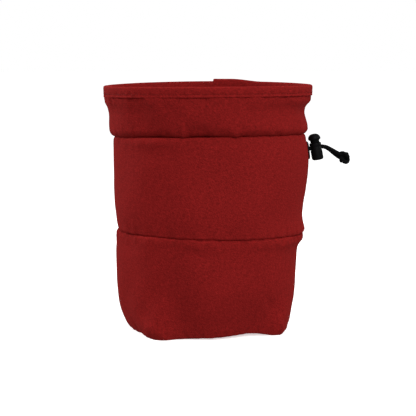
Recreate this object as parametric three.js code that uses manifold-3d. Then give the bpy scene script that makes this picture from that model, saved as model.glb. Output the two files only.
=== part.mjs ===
// A climbing chalk bag: a small round fabric bucket with a stiff rim, sewn from three panels,
// with a drawcord, a sprung cord lock and a knot at its right side and a belt loop at its back.
// Millimetres, +Z up. It stands on z = 0, its front faces -Y and its cord comes out on the +X side.

import * as THREE from 'three';
import { mergeVertices } from 'three/addons/utils/BufferGeometryUtils.js';
import Module from 'manifold-3d';

const wasm = await Module();
wasm.setup();

// Driving dimensions of the bag

const bodyWidth = 122;          // left to right, across the middle panel
const bodyDepth = 114;          // front to back
const lowerPanelHeight = 63.5;
const middlePanelHeight = 62.1;
const collarHeight = 25.1;
const rimBandHeight = 8;
const fabricWall = 2;
const rimBandWall = 3.4;        // two layers of fabric round a stiffening strip
const baseThickness = 1.6;
const baseEdgeLift = 2.2;       // how far the front's lower edge arches off the floor
const seamGap = 0.3;            // clearance between neighbouring pieces
const seamSway = 1;             // how far the seams wander up and down round the bag
const foldDepth = 4;            // how far the deepest folds push a panel in or out
const baseFade = 0.48;          // share of the lower panel over which the base's outline dies out

// The rim is overlapped at the back, from a sharp edge that slopes away to the right
const overlapRise = 1.6;
const overlapEdgeAngle = 86.6;
const overlapFlatAngle = 76;
const overlapEndAngle = 56;
const overlapEdgeWidth = 0.8;   // degrees

// Driving dimensions of the drawcord, its eyelet and its lock

const cordDiameter = 2.7;
const cordClearance = 0.3;
const eyeletBelowSeam = 9.8;    // from the upper seam down to the eyelet's middle
const eyeletAngle = -3;         // degrees from the right side
const eyeletBore = 7;
const eyeletTube = 0.5;         // wall of the tube that goes through the fabric
const eyeletFlange = 2.3;       // from the bore to the outer edge
const eyeletProud = 0.9;
const tunnelHeight = 10.5;      // the band inside the middle panel that the cord runs in
const tunnelCloth = 0.5;
const tunnelEdge = 1.5;         // height over which the tunnel rises out of the wall
const lockOut = 6.6;            // from the wall at the eyelet to the foot of the lock's axis
const lockDrop = 6.1;           // from the eyelet down to the foot of the lock's axis
const lockLean = 10.5;          // degrees, the foot away from the bag
const lockHeight = 11.1;        // the barrel alone
const lockFloor = 1.2;
const lockWall = 0.55;
const lockEdge = 0.7;           // rounding of the barrel's foot
const cordLevel = 7.9;          // the cord's height in the barrel
const stemWidth = 5.7;
const stemBar = 1.1;            // the stem's sides beside the cord
const stemFoot = 1.6;           // the stem under the cord
const slideGap = 0.3;           // between the stem and the barrel
const pressTravel = 1.8;
const pressGap = 2;             // between the barrel and the button's cap
const capHeight = 3.9;
const capOverhang = 0.25;       // how far the cap is wider than the barrel
const knotOut = 23.8;           // from the wall at the eyelet to the middle of the knot
const knotDrop = 4.7;
const knotWrapRadius = 1.75;

// Driving dimensions of the belt loop

const loopWidth = 20;
const loopHeight = 44;
const loopTab = 9;              // the sewn-down end above and below the gap
const loopGap = 5;              // room for a belt
const loopWebbing = 1.8;
const loopBelowSeam = 2.6;      // from the upper seam down to the loop's top
const loopSlope = 4;            // height over which the webbing leaves the fabric

// Smoothness

const roundSteps = 56;
const tunnelRowSpacing = 0.03;  // share of the middle panel kept free under the tunnel's rows
const cordSides = 8;

// Where each seam runs: its height above the floor, and how far it rises towards the right,
// the front and both sides, as shares of seamSway

const upperSeamHeight = lowerPanelHeight + middlePanelHeight;
const hemHeight = upperSeamHeight + collarHeight;
const seams = {
  floor: { height: 0, right: 0, front: 0, sides: 0 },
  lower: { height: lowerPanelHeight, right: -1.2, front: 0.3, sides: 0 },
  upper: { height: upperSeamHeight, right: 0.8, front: 1.3, sides: 0 },
  hem: { height: hemHeight, right: 0.65, front: 0.75, sides: 0 },
  rim: { height: hemHeight + rimBandHeight, right: 0.35, front: -0.8, sides: -0.75 },
};

// Sections of each panel, from its lower seam to its upper one. `up` is the share of the panel's
// height, left and right are shares of half of bodyWidth, front and back of half of bodyDepth.
// The rim's wall is a share of rimBandWall, smaller where its edges are rounded.

const lowerSections = [
  { up: 0.00, left: 0.831, right: 0.828, front: 0.825, back: 0.825 },
  { up: 0.08, left: 0.893, right: 0.884, front: 0.885, back: 0.885 },
  { up: 0.16, left: 0.921, right: 0.897, front: 0.912, back: 0.910 },
  { up: 0.25, left: 0.941, right: 0.908, front: 0.928, back: 0.925 },
  { up: 0.36, left: 0.954, right: 0.920, front: 0.943, back: 0.938 },
  { up: 0.52, left: 0.963, right: 0.931, front: 0.956, back: 0.948 },
  { up: 0.68, left: 0.966, right: 0.940, front: 0.964, back: 0.956 },
  { up: 0.80, left: 0.968, right: 0.949, front: 0.969, back: 0.962 },
  { up: 0.87, left: 0.971, right: 0.975, front: 0.973, back: 0.966 },
  { up: 0.94, left: 0.974, right: 1.018, front: 0.975, back: 0.968 },
  { up: 1.00, left: 0.955, right: 1.005, front: 0.960, back: 0.955 },
];

const middleSections = [
  { up: 0.00, left: 0.954, right: 1.008, front: 0.957, back: 0.955 },
  { up: 0.04, left: 0.969, right: 1.020, front: 0.972, back: 0.968 },
  { up: 0.10, left: 0.983, right: 1.010, front: 0.985, back: 0.979 },
  { up: 0.18, left: 0.993, right: 1.000, front: 0.995, back: 0.986 },
  { up: 0.30, left: 1.003, right: 1.013, front: 1.001, back: 0.990 },
  { up: 0.44, left: 1.004, right: 1.038, front: 1.002, back: 0.992 },
  { up: 0.60, left: 1.000, right: 1.061, front: 1.001, back: 0.992 },
  { up: 0.74, left: 1.001, right: 1.069, front: 1.000, back: 0.992 },
  { up: 0.87, left: 1.002, right: 1.059, front: 0.999, back: 0.990 },
  { up: 0.94, left: 1.000, right: 1.043, front: 0.996, back: 0.986 },
  { up: 1.00, left: 0.983, right: 1.018, front: 0.980, back: 0.972 },
];

const collarSections = [
  { up: 0.00, left: 1.002, right: 1.022, front: 1.000, back: 0.995 },
  { up: 0.06, left: 1.025, right: 1.040, front: 1.024, back: 1.018 },
  { up: 0.14, left: 1.040, right: 1.055, front: 1.040, back: 1.034 },
  { up: 0.25, left: 1.044, right: 1.052, front: 1.046, back: 1.040 },
  { up: 0.38, left: 1.046, right: 1.038, front: 1.046, back: 1.041 },
  { up: 0.56, left: 1.048, right: 1.022, front: 1.046, back: 1.044 },
  { up: 0.70, left: 1.058, right: 1.032, front: 1.054, back: 1.053 },
  { up: 0.86, left: 1.085, right: 1.074, front: 1.078, back: 1.077 },
  { up: 1.00, left: 1.089, right: 1.076, front: 1.084, back: 1.084 },
];

const rimSections = [
  { up: 0.00, left: 1.101, right: 1.101, front: 1.096, back: 1.096, wall: 1 },
  { up: 0.07, left: 1.106, right: 1.106, front: 1.101, back: 1.101, wall: 1 },
  { up: 0.22, left: 1.097, right: 1.097, front: 1.093, back: 1.093, wall: 0.96 },
  { up: 0.60, left: 1.107, right: 1.107, front: 1.102, back: 1.102, wall: 1 },
  { up: 0.85, left: 1.103, right: 1.103, front: 1.098, back: 1.098, wall: 0.93 },
  { up: 1.00, left: 1.088, right: 1.088, front: 1.083, back: 1.083, wall: 0.4 },
];

// The base's outline: a rounded form whose front is pulled in and arches off the floor between
// two corners. reach is a share of the lowest section's own reach at that angle, and lift is a
// share of baseEdgeLift.

const baseOutline = [
  { angle: 0, reach: 1.00, lift: 0 },
  { angle: 184, reach: 1.00, lift: 0 },
  { angle: 210, reach: 1.02, lift: 0 },
  { angle: 226, reach: 1.08, lift: 0 },
  { angle: 237, reach: 1.10, lift: 0 },
  { angle: 250, reach: 0.99, lift: 0.2 },
  { angle: 270, reach: 0.93, lift: 0.5 },
  { angle: 290, reach: 0.90, lift: 0.78 },
  { angle: 303, reach: 0.91, lift: 1 },
  { angle: 310, reach: 0.95, lift: 0.88 },
  { angle: 316, reach: 1.00, lift: 0.5 },
  { angle: 321, reach: 1.05, lift: 0.1 },
  { angle: 327, reach: 1.08, lift: 0 },
  { angle: 346, reach: 1.01, lift: 0 },
  { angle: 360, reach: 1.00, lift: 0 },
];

// Folds: where they are, how far they spread in degrees and in share of the panel's height,
// and how far they push the fabric, as a share of foldDepth (in is negative)

const folds = [
  { panel: 'collar', angle: 264, up: 0.15, wide: 11, tall: 0.17, push: -0.60 },
  { panel: 'collar', angle: 294, up: 0.10, wide: 12, tall: 0.12, push: -0.40 },
  { panel: 'collar', angle: 236, up: 0.35, wide: 13, tall: 0.28, push: -0.35 },
  { panel: 'collar', angle: 120, up: 0.25, wide: 22, tall: 0.25, push: -0.30 },
  { panel: 'middle', angle: 236, up: 0.94, wide: 16, tall: 0.05, push: 0.25 },
  { panel: 'middle', angle: 232, up: 0.80, wide: 15, tall: 0.10, push: -0.30 },
  { panel: 'middle', angle: 250, up: 0.18, wide: 14, tall: 0.16, push: -0.25 },
  { panel: 'middle', angle: 35, up: 0.35, wide: 18, tall: 0.22, push: -0.35 },
  { panel: 'lower', angle: 262, up: 0.83, wide: 11, tall: 0.08, push: -0.30 },
  { panel: 'lower', angle: 229, up: 0.31, wide: 13, tall: 0.12, push: -0.55 },
  { panel: 'lower', angle: 245, up: 0.50, wide: 8, tall: 0.22, push: -0.25 },
  { panel: 'lower', angle: 318, up: 0.27, wide: 9, tall: 0.14, push: -0.35 },
  { panel: 'lower', angle: 130, up: 0.40, wide: 20, tall: 0.20, push: -0.45 },
  { panel: 'lower', angle: 55, up: 0.55, wide: 16, tall: 0.25, push: -0.35 },
];

const panels = {
  lower: { from: 'floor', to: 'lower', wall: fabricWall, sections: lowerSections },
  middle: { from: 'lower', to: 'upper', wall: fabricWall, sections: middleSections },
  collar: { from: 'upper', to: 'hem', wall: fabricWall, sections: collarSections },
  rim: { from: 'hem', to: 'rim', wall: rimBandWall, sections: rimSections },
};

// The cord's route, from inside the fabric to inside the knot. out and rise start from the wall
// at the eyelet, and turn is how far the pair of strands has turned, in degrees: at 90 they lie
// side by side and at 0 one above the other.

const cordRoute = [
  { out: -4.4, rise: 0.4, turn: 90 },
  { out: -3.0, rise: 0.5, turn: 90 },
  { out: -1.2, rise: 0.8, turn: 90 },
  { out: 0.8, rise: 1.1, turn: 90 },
  { out: 2.8, rise: 1.5, turn: 90 },
  { out: 4.8, rise: 1.8, turn: 90 },
  { out: 6.8, rise: 2.3, turn: 90 },
  { out: 8.8, rise: 2.5, turn: 90 },
  { out: 11.2, rise: 2.2, turn: 84 },
  { out: 13.7, rise: 1.0, turn: 79 },
  { out: 16.2, rise: -0.7, turn: 66 },
  { out: 18.7, rise: -2.4, turn: 52 },
  { out: 20.7, rise: -3.5, turn: 42 },
  { out: 22.4, rise: -4.2, turn: 34 },
  { out: 24.2, rise: -4.8, turn: 30 },
];

// Materials

const redFabric = { color: 0x7a1a1a, roughness: 0.85, metalness: 0 };
const blackPlastic = { color: 0x0b0b0c, roughness: 0.45, metalness: 0 };
const blackCord = { color: 0x0c0c0c, roughness: 0.8, metalness: 0 };
const blackWebbing = { color: 0x101010, roughness: 0.8, metalness: 0 };

const part = new THREE.Group();

function addPiece(name, geometry, look) {
  const mesh = new THREE.Mesh(geometry, new THREE.MeshStandardMaterial(look));
  mesh.name = name;
  part.add(mesh);
}

function radians(degrees) {
  return degrees * Math.PI / 180;
}

function mix(a, b, share) {
  return a + (b - a) * share;
}

function smoothstep(share) {
  const held = Math.min(Math.max(share, 0), 1);
  return held * held * (3 - 2 * held);
}

// The row of a table at a place between two of its rows

function rowAt(rows, key, value) {
  let next = rows.findIndex(row => row[key] >= value);
  if (next < 0) next = rows.length - 1;
  const above = rows[next];
  const below = rows[Math.max(next - 1, 0)];
  const span = above[key] - below[key];
  const share = span > 0 ? (value - below[key]) / span : 0;
  return Object.fromEntries(Object.keys(above).map(name => [name, mix(below[name], above[name], share)]));
}

function overlapAt(angle) {
  const edgeStart = overlapEdgeAngle + overlapEdgeWidth;
  if (angle <= overlapEndAngle || angle >= edgeStart) return 0;
  if (angle < overlapFlatAngle) return (angle - overlapEndAngle) / (overlapFlatAngle - overlapEndAngle);
  return Math.min((edgeStart - angle) / overlapEdgeWidth, 1);
}

function seamHeight(name, angle) {
  const seam = seams[name];
  const right = Math.cos(radians(angle));
  const front = -Math.sin(radians(angle));
  const sway = seamSway * (seam.right * right + seam.front * front + seam.sides * right * right);
  const overlap = name === 'rim' ? overlapRise * overlapAt(angle) : 0;
  return seam.height + sway + overlap;
}

// The height at a share of a panel, with half of the gap left at each sewn seam

function heightAt(panel, angle, up) {
  const onFloor = panel.from === 'floor';
  const foot = onFloor ? baseEdgeLift * rowAt(baseOutline, 'angle', angle).lift : seamGap / 2;
  const lowest = seamHeight(panel.from, angle) + foot;
  const highest = seamHeight(panel.to, angle) - (panel.to === 'rim' ? 0 : seamGap / 2);
  return mix(lowest, highest, up);
}

function upAt(panel, angle, height) {
  const lowest = heightAt(panel, angle, 0);
  return (height - lowest) / (heightAt(panel, angle, 1) - lowest);
}

function turnBetween(angle, other) {
  return ((angle - other + 540) % 360) - 180;
}

function foldPush(panel, angle, up) {
  let push = 0;
  for (const fold of folds) {
    if (panels[fold.panel] !== panel) continue;
    const across = turnBetween(angle, fold.angle) / fold.wide;
    const along = (up - fold.up) / fold.tall;
    push += fold.push * Math.exp(-across * across - along * along);
  }
  return push * foldDepth;
}

// A point of a panel: on its outer face where inward is 0

function panelPoint(panel, angle, up, inward) {
  const turned = ((angle % 360) + 360) % 360;
  const row = rowAt(panel.sections, 'up', up);
  const right = Math.cos(radians(turned));
  const back = Math.sin(radians(turned));
  const reachX = bodyWidth / 2 * (right > 0 ? row.right : row.left);
  const reachY = bodyDepth / 2 * (back > 0 ? row.back : row.front);
  let shape = 1;
  if (panel === panels.lower) {
    const weight = 1 - smoothstep(up / baseFade);
    shape = mix(1, rowAt(baseOutline, 'angle', turned).reach, weight);
  }
  const push = foldPush(panel, turned, up) - inward;
  return new THREE.Vector3(
    reachX * right * shape + push * right,
    reachY * back * shape + push * back,
    heightAt(panel, turned, up),
  );
}

// A closed solid through rings of equally many points. Where the rings don't come round to the
// first one again, the first and the last are filled with a fan.

function solidThroughRings(rings, comesRound) {
  const count = rings[0].length;
  const points = rings.flat();
  const faces = [];
  const bands = comesRound ? rings.length : rings.length - 1;
  for (let band = 0; band < bands; band += 1) {
    const here = band * count;
    const there = ((band + 1) % rings.length) * count;
    for (let i = 0; i < count; i += 1) {
      const j = (i + 1) % count;
      faces.push(here + i, here + j, there + j);
      faces.push(here + i, there + j, there + i);
    }
  }
  if (!comesRound) {
    for (const [ring, first] of [[rings[0], 0], [rings.at(-1), points.length - count]]) {
      const middle = new THREE.Vector3();
      ring.forEach(point => middle.add(point));
      points.push(middle.divideScalar(count));
      for (let i = 0; i < count; i += 1) {
        const j = (i + 1) % count;
        const outside = first === 0 ? [first + j, first + i] : [first + i, first + j];
        faces.push(...outside, points.length - 1);
      }
    }
  }
  const geometry = new THREE.BufferGeometry();
  geometry.setAttribute('position', new THREE.Float32BufferAttribute(points.flatMap(p => p.toArray()), 3));
  geometry.setIndex(faces);
  return facingOut(geometry);
}

function facingOut(geometry) {
  const at = geometry.getAttribute('position');
  const index = Array.from(geometry.index.array);
  const [a, b, c] = [new THREE.Vector3(), new THREE.Vector3(), new THREE.Vector3()];
  let volume = 0;
  for (let i = 0; i < index.length; i += 3) {
    a.fromBufferAttribute(at, index[i]);
    b.fromBufferAttribute(at, index[i + 1]);
    c.fromBufferAttribute(at, index[i + 2]);
    volume += a.dot(b.cross(c));
  }
  if (volume < 0) {
    for (let i = 0; i < index.length; i += 3) {
      [index[i + 1], index[i + 2]] = [index[i + 2], index[i + 1]];
    }
    geometry.setIndex(index);
  }
  geometry.computeVertexNormals();
  return geometry;
}

// Joining and cutting

function toSolid(geometry) {
  const bare = geometry.clone();
  bare.deleteAttribute('normal');
  bare.deleteAttribute('uv');
  const merged = mergeVertices(bare, 1e-4);
  return new wasm.Manifold(new wasm.Mesh({
    numProp: 3,
    vertProperties: new Float32Array(merged.getAttribute('position').array),
    triVerts: new Uint32Array(merged.index.array),
  }));
}

function fromSolid(solid) {
  const mesh = solid.getMesh();
  const geometry = new THREE.BufferGeometry();
  geometry.setAttribute('position', new THREE.Float32BufferAttribute(mesh.vertProperties, 3));
  geometry.setIndex(Array.from(mesh.triVerts));
  geometry.computeVertexNormals();
  return geometry;
}

function cut(geometry, ...tools) {
  return fromSolid(tools.reduce((solid, tool) => solid.subtract(toSolid(tool)), toSolid(geometry)));
}

function join(geometry, ...others) {
  return fromSolid(others.reduce((solid, other) => solid.add(toSolid(other)), toSolid(geometry)));
}

function roundAngles(extra = []) {
  const even = Array.from({ length: roundSteps }, (_, i) => i * 360 / roundSteps);
  return [...even, ...extra].sort((a, b) => a - b);
}

// The four panels, each a wall that goes once round the bag

const eyeletHeight = upperSeamHeight - eyeletBelowSeam;

function tunnelWeight(height) {
  const fromMiddle = Math.abs(height - eyeletHeight);
  return smoothstep((tunnelHeight / 2 + tunnelEdge - fromMiddle) / tunnelEdge);
}

function wallInward(panel, angle, up) {
  const wall = panel.wall * (rowAt(panel.sections, 'up', up).wall ?? 1);
  if (panel !== panels.middle) return wall;
  return wall + (cordDiameter + tunnelCloth) * tunnelWeight(heightAt(panel, angle, up));
}

function panelWall(panel, angles, innerUps) {
  const outer = panel.sections.map(({ up }) => angles.map(angle => panelPoint(panel, angle, up, 0)));
  const inner = innerUps.map(up => angles.map(
    angle => panelPoint(panel, angle, up, wallInward(panel, angle, up)),
  ));
  return solidThroughRings([...outer, ...inner.reverse()], true);
}

function sectionUps(panel) {
  return panel.sections.map(({ up }) => up);
}

// The middle panel's inner face has its own rows, where the cord's tunnel starts and ends

function tunnelUps() {
  const half = tunnelHeight / 2;
  const rises = [-half - tunnelEdge, -half, half, half + tunnelEdge];
  const tunnel = rises.map(rise => upAt(panels.middle, 0, eyeletHeight + rise));
  const plain = sectionUps(panels.middle).filter(up => up < tunnel[0] - tunnelRowSpacing || up === 1);
  return [...plain, ...tunnel].sort((a, b) => a - b);
}

// What the eyelet, the cord and the lock are placed from: the wall's outer face at the eyelet

const eyeletUp = upAt(panels.middle, eyeletAngle, eyeletHeight);
const seat = panelPoint(panels.middle, eyeletAngle, eyeletUp, 0);

function alongX(geometry) {
  return geometry.rotateZ(-Math.PI / 2);
}

function eyeletHole() {
  const radius = eyeletBore / 2 + eyeletTube + seamGap;
  const depth = fabricWall + cordDiameter;
  const outside = 3;
  const hole = alongX(new THREE.CylinderGeometry(radius, radius, depth + outside, 24));
  return hole.translate(seat.x + (outside - depth) / 2, seat.y, seat.z);
}

function middlePanel() {
  return cut(panelWall(panels.middle, roundAngles(), tunnelUps()), eyeletHole());
}

function rimBand() {
  const overlapAngles = [overlapEndAngle, overlapFlatAngle, overlapEdgeAngle, overlapEdgeAngle + overlapEdgeWidth];
  return panelWall(panels.rim, roundAngles(overlapAngles), sectionUps(panels.rim));
}

function basePanel() {
  const inward = fabricWall + seamGap;
  const outline = roundAngles().map(angle => panelPoint(panels.lower, angle, 0, inward));
  const rings = [0, baseThickness].map(z => outline.map(point => new THREE.Vector3(point.x, point.y, z)));
  return solidThroughRings(rings, false);
}

// The eyelet: a flanged ring that follows the wall, with a short tube through the hole

function cordEyelet() {
  const bore = eyeletBore / 2;
  const edge = bore + eyeletFlange;
  const lift = seamGap + eyeletProud;
  const profile = [
    { radius: bore, lift: lift * 0.8 },
    { radius: bore + eyeletFlange * 0.3, lift },
    { radius: bore + eyeletFlange * 0.75, lift },
    { radius: edge, lift: lift * 0.65 },
    { radius: edge, lift: seamGap },
    { radius: bore + eyeletTube, lift: seamGap },
    { radius: bore + eyeletTube, lift: -fabricWall * 0.8 },
    { radius: bore, lift: -fabricWall * 0.8 },
  ];
  const steps = 24;
  const reach = Math.hypot(seat.x, seat.y);
  const rings = profile.map(({ radius, lift: out }) => Array.from({ length: steps }, (_, i) => {
    const turn = i / steps * 2 * Math.PI;
    const angle = eyeletAngle + radius * Math.cos(turn) / reach * 180 / Math.PI;
    const up = upAt(panels.middle, angle, eyeletHeight + radius * Math.sin(turn));
    return panelPoint(panels.middle, angle, up, -out);
  }));
  return solidThroughRings(rings, true);
}

// The cord's two strands

const strandSpacing = cordDiameter + seamGap;

function strandPoints(side) {
  return cordRoute.map(({ out, rise, turn }) => new THREE.Vector3(
    seat.x + out,
    seat.y - side * strandSpacing / 2 * Math.sin(radians(turn)),
    seat.z + rise + side * strandSpacing / 2 * Math.cos(radians(turn)),
  ));
}

function strand(side, diameter) {
  const section = new THREE.Shape();
  for (let i = 0; i < cordSides; i += 1) {
    const turn = i / cordSides * 2 * Math.PI;
    const corner = [diameter / 2 * Math.cos(turn), diameter / 2 * Math.sin(turn)];
    if (i === 0) section.moveTo(...corner);
    else section.lineTo(...corner);
  }
  section.closePath();
  return new THREE.ExtrudeGeometry(section, {
    steps: 14,
    extrudePath: new THREE.CatmullRomCurve3(strandPoints(side)),
    bevelEnabled: false,
  });
}

// The knot: two wraps of cord crossed round a core, with sockets for the strands

function cordKnot() {
  const wrap = () => new THREE.TorusGeometry(knotWrapRadius, cordDiameter / 2, 8, 14);
  const first = wrap().scale(1, 1.35, 1).rotateY(radians(62)).rotateX(radians(90));
  const second = wrap().scale(1, 1.2, 1).rotateY(radians(-50)).rotateX(radians(90)).translate(0.2, 0, 0.9);
  const core = new THREE.SphereGeometry(cordDiameter, 12, 9).scale(1.12, 1.12, 1.42);
  const lump = join(core, first, second);
  lump.translate(seat.x + knotOut, seat.y, seat.z - knotDrop);
  const socket = cordDiameter + 2 * seamGap;
  return cut(lump, strand(1, socket), strand(-1, socket));
}

// The lock, made upright with the foot of its axis at the origin, then leaned and placed

function stadium(width, depth) {
  const radius = width / 2;
  const straight = depth / 2 - radius;
  const outline = new THREE.Shape();
  outline.absarc(0, straight, radius, 0, Math.PI, false);
  outline.absarc(0, -straight, radius, Math.PI, 2 * Math.PI, false);
  outline.closePath();
  return outline;
}

function upright(outline, from, to) {
  const options = { depth: to - from, bevelEnabled: false, curveSegments: 7 };
  return new THREE.ExtrudeGeometry(outline, options).translate(0, 0, from);
}

function placeOnCord(geometry) {
  geometry.rotateY(-radians(lockLean));
  return geometry.translate(seat.x + lockOut, seat.y, seat.z - lockDrop);
}

const cordRoomDepth = strandSpacing + cordDiameter + 2 * cordClearance;
const cordRoomLow = cordLevel - cordDiameter / 2 - cordClearance;
const cordRoomHigh = cordLevel + cordDiameter / 2 + cordClearance;
const stemDepth = cordRoomDepth + 2 * stemBar;
const boreWidth = stemWidth + 2 * slideGap;
const boreDepth = stemDepth + 2 * slideGap;
const barrelWidth = boreWidth + 2 * lockWall;
const barrelDepth = boreDepth + 2 * lockWall;

function cordRoom(low, high) {
  const length = barrelWidth + 2;
  return new THREE.BoxGeometry(length, cordRoomDepth, high - low).translate(0, 0, (low + high) / 2);
}

function lockBarrel() {
  const body = new THREE.ExtrudeGeometry(stadium(barrelWidth - 2 * lockEdge, barrelDepth - 2 * lockEdge), {
    depth: lockHeight - 2 * lockEdge,
    bevelThickness: lockEdge,
    bevelSize: lockEdge,
    bevelSegments: 2,
    curveSegments: 7,
  }).translate(0, 0, lockEdge);
  const bore = upright(stadium(boreWidth, boreDepth), lockFloor, lockHeight + 1);
  return placeOnCord(cut(body, bore, cordRoom(cordRoomLow, cordRoomHigh)));
}

function lockButton() {
  const capFoot = lockHeight + pressGap;
  const capRadius = barrelWidth / 2 + capOverhang;
  const capProfile = [
    new THREE.Vector2(0, 0),
    new THREE.Vector2(capRadius * 0.8, 0),
    new THREE.Vector2(capRadius * 0.97, capHeight * 0.16),
    new THREE.Vector2(capRadius, capHeight * 0.36),
    new THREE.Vector2(capRadius * 0.9, capHeight * 0.66),
    new THREE.Vector2(capRadius * 0.6, capHeight * 0.92),
    new THREE.Vector2(0, capHeight),
  ];
  const cap = new THREE.LatheGeometry(capProfile, 24).rotateX(Math.PI / 2);
  cap.scale(1, (barrelDepth / 2 + capOverhang) / capRadius, 1).translate(0, 0, capFoot);
  const stem = upright(stadium(stemWidth, stemDepth), cordRoomLow - stemFoot, capFoot + capHeight * 0.2);
  return placeOnCord(cut(join(cap, stem), cordRoom(cordRoomLow, cordRoomHigh + pressTravel)));
}

// The belt loop: a strip of webbing whose ends lie on the fabric and whose middle stands off it

function beltLoop() {
  const loopTop = upperSeamHeight - loopBelowSeam;
  const loopFoot = loopTop - loopHeight;
  let backReach = 0;
  for (const height of [loopFoot, (loopFoot + loopTop) / 2, loopTop - loopTab, loopTop]) {
    const up = upAt(panels.middle, 90, height);
    backReach = Math.max(backReach, panelPoint(panels.middle, 90, up, 0).y);
  }
  const near = backReach + seamGap;
  const far = backReach + loopGap;
  const line = [
    [near, loopFoot],
    [near, loopFoot + loopTab],
    [far, loopFoot + loopTab + loopSlope],
    [far, loopTop - loopTab - loopSlope],
    [near, loopTop - loopTab],
    [near, loopTop],
  ];
  const outline = new THREE.Shape();
  outline.moveTo(...line[0]);
  line.slice(1).forEach(point => outline.lineTo(...point));
  line.slice().reverse().forEach(([y, z]) => outline.lineTo(y + loopWebbing, z));
  outline.closePath();
  const strip = new THREE.ExtrudeGeometry(outline, { depth: loopWidth, bevelEnabled: false });
  strip.rotateX(Math.PI / 2).rotateZ(Math.PI / 2);
  return strip.translate(-loopWidth / 2, 0, 0);
}

addPiece('lower_panel', panelWall(panels.lower, roundAngles(), sectionUps(panels.lower)), redFabric);
addPiece('middle_panel', middlePanel(), redFabric);
addPiece('collar', panelWall(panels.collar, roundAngles(), sectionUps(panels.collar)), redFabric);
addPiece('rim_band', rimBand(), redFabric);
addPiece('base_panel', basePanel(), redFabric);
addPiece('belt_loop', beltLoop(), blackWebbing);
addPiece('cord_eyelet', cordEyelet(), blackPlastic);
addPiece('drawcord_upper', strand(1, cordDiameter), blackCord);
addPiece('drawcord_lower', strand(-1, cordDiameter), blackCord);
addPiece('cord_knot', cordKnot(), blackCord);
addPiece('lock_barrel', lockBarrel(), blackPlastic);
addPiece('lock_button', lockButton(), blackPlastic);

export default part;
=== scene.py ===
"""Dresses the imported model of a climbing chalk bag: woven red panels with their folds, a stitched rim,
a braided drawcord with its knot and sprung lock, and a belt loop. Shapes are worked out in millimetres."""

import math

import bpy
import bmesh
import numpy as np
from mathutils import Matrix, Vector


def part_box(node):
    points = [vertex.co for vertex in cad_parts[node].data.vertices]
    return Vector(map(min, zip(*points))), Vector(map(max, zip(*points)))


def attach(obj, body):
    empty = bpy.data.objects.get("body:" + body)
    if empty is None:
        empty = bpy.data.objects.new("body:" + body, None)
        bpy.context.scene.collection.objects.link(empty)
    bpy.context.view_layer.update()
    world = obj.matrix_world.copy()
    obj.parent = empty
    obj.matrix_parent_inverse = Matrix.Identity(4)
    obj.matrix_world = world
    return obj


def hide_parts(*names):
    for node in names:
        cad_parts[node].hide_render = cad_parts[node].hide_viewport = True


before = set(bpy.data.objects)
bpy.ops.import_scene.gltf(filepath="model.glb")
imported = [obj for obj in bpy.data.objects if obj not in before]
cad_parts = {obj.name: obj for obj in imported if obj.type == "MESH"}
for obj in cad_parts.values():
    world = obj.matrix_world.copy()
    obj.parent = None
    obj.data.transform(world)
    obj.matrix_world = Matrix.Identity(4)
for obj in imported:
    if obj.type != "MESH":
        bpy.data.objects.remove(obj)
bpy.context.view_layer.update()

MM = 0.001

# The bag's sizes, as the solids have them: millimetres, with BASE_FADE a share and the angle in degrees

BODY_WIDTH = 122.0
BODY_DEPTH = 114.0
GIRTH = math.pi * BODY_WIDTH
LOWER_HEIGHT = 63.5
MIDDLE_HEIGHT = 62.1
COLLAR_HEIGHT = 25.1
RIM_HEIGHT = 8.0
FABRIC = 2.0
RIM_WALL = 3.4
BASE_THICKNESS = 1.6
BASE_LIFT = 2.2
BASE_FADE = 0.48
SEAM_OVERLAP = 0.4
SEAM_SWAY = 1.0
FOLD_DEPTH = 4.0
CORD = 2.7
STRAND_SPACING = CORD + 0.3
EYELET_ANGLE = -3.0
EYELET_HEIGHT = LOWER_HEIGHT + MIDDLE_HEIGHT - 9.8
TUNNEL_HEIGHT = 10.5
TUNNEL_EDGE = 1.5
TUNNEL_DEPTH = CORD + 0.5

# The camera: the photograph's own angle and framing

CAMERA_BACK = 845.0
CAMERA_HEIGHT = 173.0
CAMERA_PITCH = 6.43
CAMERA_LENS = 112.5
SENSOR = 36.0

camera_data = bpy.data.cameras.new("photo_camera")
camera_data.lens = CAMERA_LENS
camera_data.sensor_width = SENSOR
camera = bpy.data.objects.new("photo_camera", camera_data)
camera.location = (0, -CAMERA_BACK * MM, CAMERA_HEIGHT * MM)
camera.rotation_euler = (math.radians(90 - CAMERA_PITCH), 0, 0)
bpy.context.scene.collection.objects.link(camera)
bpy.context.scene.camera = camera

# The cord's braid: its strands, pitch and depth, and the share of that depth in its hollows

BRAID_STRANDS = 4
BRAID_PITCH = 1.9
BRAID_DEPTH = 0.16
BRAID_HOLLOW = 0.35

# A direction that no tube starts along

TUBE_GUIDE = (0.0, 0.31, 0.95)

# Meshes


def add_mesh(name, points, faces, smooth=True):
    """A new object from points in millimetres."""
    mesh = bpy.data.meshes.new(name)
    mesh.from_pydata((np.asarray(points) * MM).tolist(), [], [list(map(int, f)) for f in faces])
    mesh.validate()
    mesh.update()
    piece = bpy.data.objects.new(name, mesh)
    bpy.context.scene.collection.objects.link(piece)
    for polygon in mesh.polygons:
        polygon.use_smooth = smooth
    return piece


def as_points(x, y, z):
    """Points from their coordinates, any of which may be one number for all."""
    return np.stack(np.broadcast_arrays(x, y, z), axis=-1)


def whole_turn(steps):
    """Angles round a circle, in radians."""
    return np.linspace(0, 2 * math.pi, steps, endpoint=False)


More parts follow.
